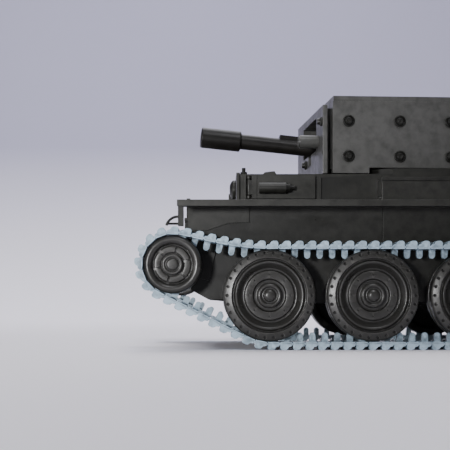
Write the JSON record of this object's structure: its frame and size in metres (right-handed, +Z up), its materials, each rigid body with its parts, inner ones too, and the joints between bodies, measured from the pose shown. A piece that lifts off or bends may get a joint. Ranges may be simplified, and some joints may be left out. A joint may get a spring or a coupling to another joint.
{
  "type": "tracked tank chassis",
  "caption": "Small-scale plastic kit of a tracked cruiser tank: hull, sprung-wheel running gear, link tracks, turning turret and elevating short gun.",
  "frame": {"origin": "on the ground, under the middle of the model", "axes": "-X is the front of the tank, -Y its left side, +Z up"},
  "size_m": [0.181, 0.083, 0.0706],
  "materials": {
    "hull_plastic": "bare moulded plastic, satin",
    "turret_plastic": "bare moulded plastic, satin",
    "wheel_plastic": "bare moulded plastic, satin",
    "gun_plastic": "bare moulded plastic, satin",
    "track_plastic": "bare moulded plastic, matt"
  },
  "bodies": {
    "hull": {"hull_tub": "hull_plastic", "glacis_plate": "hull_plastic", "side_armour_left": "hull_plastic", "side_armour_right": "hull_plastic", "track_guard_left": "hull_plastic", "track_guard_right": "hull_plastic", "fighting_compartment": "hull_plastic", "front_plate": "hull_plastic", "driver_visor": "hull_plastic", "ball_mount": "hull_plastic", "stowage_box_left": "hull_plastic", "stowage_box_right": "hull_plastic", "engine_deck": "hull_plastic", "engine_covers": "hull_plastic", "rear_plate": "hull_plastic", "air_outlet": "hull_plastic", "nose_loops": "hull_plastic", "suspension_arms_left": "hull_plastic", "suspension_arms_right": "hull_plastic", "idler_mounts": "hull_plastic", "final_drives": "hull_plastic", "track_left": "track_plastic", "track_right": "track_plastic", "track_pins_left": "track_plastic", "track_pins_right": "track_plastic"},
    "turret": {"turret_shell": "turret_plastic", "turret_ring": "turret_plastic", "turret_front_plate": "turret_plastic", "turret_side_armour": "turret_plastic", "turret_rear_plate": "turret_plastic", "turret_roof": "turret_plastic", "trunnion_brackets": "turret_plastic", "armour_bolts": "turret_plastic", "front_plate_bolts": "turret_plastic", "machine_gun_housing": "turret_plastic", "cupola": "turret_plastic"},
    "gun": {"mantlet": "gun_plastic", "gun_barrel": "gun_plastic", "muzzle_weight": "gun_plastic"},
    "road_wheel_left_1_body": {"road_wheel_left_1": "wheel_plastic"},
    "road_wheel_left_2_body": {"road_wheel_left_2": "wheel_plastic"},
    "road_wheel_left_3_body": {"road_wheel_left_3": "wheel_plastic"},
    "road_wheel_left_4_body": {"road_wheel_left_4": "wheel_plastic"},
    "road_wheel_left_5_body": {"road_wheel_left_5": "wheel_plastic"},
    "road_wheel_right_1_body": {"road_wheel_right_1": "wheel_plastic"},
    "road_wheel_right_2_body": {"road_wheel_right_2": "wheel_plastic"},
    "road_wheel_right_3_body": {"road_wheel_right_3": "wheel_plastic"},
    "road_wheel_right_4_body": {"road_wheel_right_4": "wheel_plastic"},
    "road_wheel_right_5_body": {"road_wheel_right_5": "wheel_plastic"},
    "idler_left_body": {"idler_left": "wheel_plastic"},
    "idler_right_body": {"idler_right": "wheel_plastic"},
    "sprocket_left_body": {"sprocket_left": "wheel_plastic"},
    "sprocket_right_body": {"sprocket_right": "wheel_plastic"},
    "cupola_hatch_left_body": {"cupola_hatch_left": "turret_plastic"},
    "cupola_hatch_right_body": {"cupola_hatch_right": "turret_plastic"},
    "loader_hatch_body": {"loader_hatch": "turret_plastic"},
    "side_door_left_body": {"side_door_left": "hull_plastic"},
    "side_door_right_body": {"side_door_right": "hull_plastic"},
    "driver_hatch_body": {"driver_hatch": "hull_plastic"}
  },
  "joints": [
    {"name": "turret_traverse", "type": "hinge", "parent": "hull", "child": "turret", "pos_m": [-0.006, 0, 0.0479], "axis": [0, 0, 1], "continuous": true},
    {"name": "gun_elevation", "type": "hinge", "parent": "turret", "child": "gun", "pos_m": [-0.03392, -0.00215, 0.0552], "axis": [-0.0767, 0.9971, 0], "range_deg": [-14.6, 14.4]},
    {"name": "sprocket_left_spin", "type": "hinge", "parent": "hull", "child": "sprocket_left_body", "pos_m": [0.0763, -0.0364, 0.022], "axis": [0, 1, 0], "continuous": true, "deforming": ["track_left", "track_pins_left"]},
    {"name": "idler_left_spin", "type": "hinge", "parent": "hull", "child": "idler_left_body", "pos_m": [-0.0808, -0.0364, 0.022], "axis": [0, 1, 0], "continuous": true},
    {"name": "road_wheel_left_1_spin", "type": "hinge", "parent": "hull", "child": "road_wheel_left_1_body", "pos_m": [-0.05582, -0.0364, 0.014], "axis": [0, 1, 0], "continuous": true},
    {"name": "road_wheel_left_2_spin", "type": "hinge", "parent": "hull", "child": "road_wheel_left_2_body", "pos_m": [-0.02916, -0.0364, 0.014], "axis": [0, 1, 0], "continuous": true},
    {"name": "road_wheel_left_3_spin", "type": "hinge", "parent": "hull", "child": "road_wheel_left_3_body", "pos_m": [-0.0025, -0.0364, 0.014], "axis": [0, 1, 0], "continuous": true},
    {"name": "road_wheel_left_4_spin", "type": "hinge", "parent": "hull", "child": "road_wheel_left_4_body", "pos_m": [0.02416, -0.0364, 0.014], "axis": [0, 1, 0], "continuous": true},
    {"name": "road_wheel_left_5_spin", "type": "hinge", "parent": "hull", "child": "road_wheel_left_5_body", "pos_m": [0.05082, -0.0364, 0.014], "axis": [0, 1, 0], "continuous": true},
    {"name": "sprocket_right_spin", "type": "hinge", "parent": "hull", "child": "sprocket_right_body", "pos_m": [0.0763, 0.0364, 0.022], "axis": [0, 1, 0], "continuous": true, "deforming": ["track_right", "track_pins_right"]},
    {"name": "idler_right_spin", "type": "hinge", "parent": "hull", "child": "idler_right_body", "pos_m": [-0.0808, 0.0364, 0.022], "axis": [0, 1, 0], "continuous": true},
    {"name": "road_wheel_right_1_spin", "type": "hinge", "parent": "hull", "child": "road_wheel_right_1_body", "pos_m": [-0.05582, 0.0364, 0.014], "axis": [0, 1, 0], "continuous": true},
    {"name": "road_wheel_right_2_spin", "type": "hinge", "parent": "hull", "child": "road_wheel_right_2_body", "pos_m": [-0.02916, 0.0364, 0.014], "axis": [0, 1, 0], "continuous": true},
    {"name": "road_wheel_right_3_spin", "type": "hinge", "parent": "hull", "child": "road_wheel_right_3_body", "pos_m": [-0.0025, 0.0364, 0.014], "axis": [0, 1, 0], "continuous": true},
    {"name": "road_wheel_right_4_spin", "type": "hinge", "parent": "hull", "child": "road_wheel_right_4_body", "pos_m": [0.02416, 0.0364, 0.014], "axis": [0, 1, 0], "continuous": true},
    {"name": "road_wheel_right_5_spin", "type": "hinge", "parent": "hull", "child": "road_wheel_right_5_body", "pos_m": [0.05082, 0.0364, 0.014], "axis": [0, 1, 0], "continuous": true},
    {"name": "side_door_left_swing", "type": "hinge", "parent": "hull", "child": "side_door_left_body", "pos_m": [-0.0609, -0.029, 0.04285], "axis": [0, 0, -1], "range_deg": [0, 100]},
    {"name": "side_door_right_swing", "type": "hinge", "parent": "hull", "child": "side_door_right_body", "pos_m": [-0.0609, 0.029, 0.04285], "axis": [0, 0, 1], "range_deg": [0, 100]},
    {"name": "driver_hatch_swing", "type": "hinge", "parent": "hull", "child": "driver_hatch_body", "pos_m": [-0.0555, 0.01835, 0.0469], "axis": [-1, 0, 0], "range_deg": [0, 110]},
    {"name": "loader_hatch_swing", "type": "hinge", "parent": "turret", "child": "loader_hatch_body", "pos_m": [0.00166, 0.01779, 0.0679], "axis": [-0.9971, -0.0767, 0], "range_deg": [0, 110]},
    {"name": "cupola_hatch_left_swing", "type": "hinge", "parent": "turret", "child": "cupola_hatch_left_body", "pos_m": [0.00446, -0.0186, 0.0701], "axis": [0.9971, 0.0767, 0], "range_deg": [0, 110]},
    {"name": "cupola_hatch_right_swing", "type": "hinge", "parent": "turret", "child": "cupola_hatch_right_body", "pos_m": [0.00325, -0.00295, 0.0701], "axis": [-0.9971, -0.0767, 0], "range_deg": [0, 110]}
  ],
  "couplings": [
    {"joint": "idler_left_spin", "follows": "sprocket_left_spin", "ratio": 1},
    {"joint": "road_wheel_left_1_spin", "follows": "sprocket_left_spin", "ratio": 0.69683},
    {"joint": "road_wheel_left_2_spin", "follows": "sprocket_left_spin", "ratio": 0.69683},
    {"joint": "road_wheel_left_3_spin", "follows": "sprocket_left_spin", "ratio": 0.69683},
    {"joint": "road_wheel_left_4_spin", "follows": "sprocket_left_spin", "ratio": 0.69683},
    {"joint": "road_wheel_left_5_spin", "follows": "sprocket_left_spin", "ratio": 0.69683},
    {"joint": "idler_right_spin", "follows": "sprocket_right_spin", "ratio": 1},
    {"joint": "road_wheel_right_1_spin", "follows": "sprocket_right_spin", "ratio": 0.69683},
    {"joint": "road_wheel_right_2_spin", "follows": "sprocket_right_spin", "ratio": 0.69683},
    {"joint": "road_wheel_right_3_spin", "follows": "sprocket_right_spin", "ratio": 0.69683},
    {"joint": "road_wheel_right_4_spin", "follows": "sprocket_right_spin", "ratio": 0.69683},
    {"joint": "road_wheel_right_5_spin", "follows": "sprocket_right_spin", "ratio": 0.69683}
  ]
}
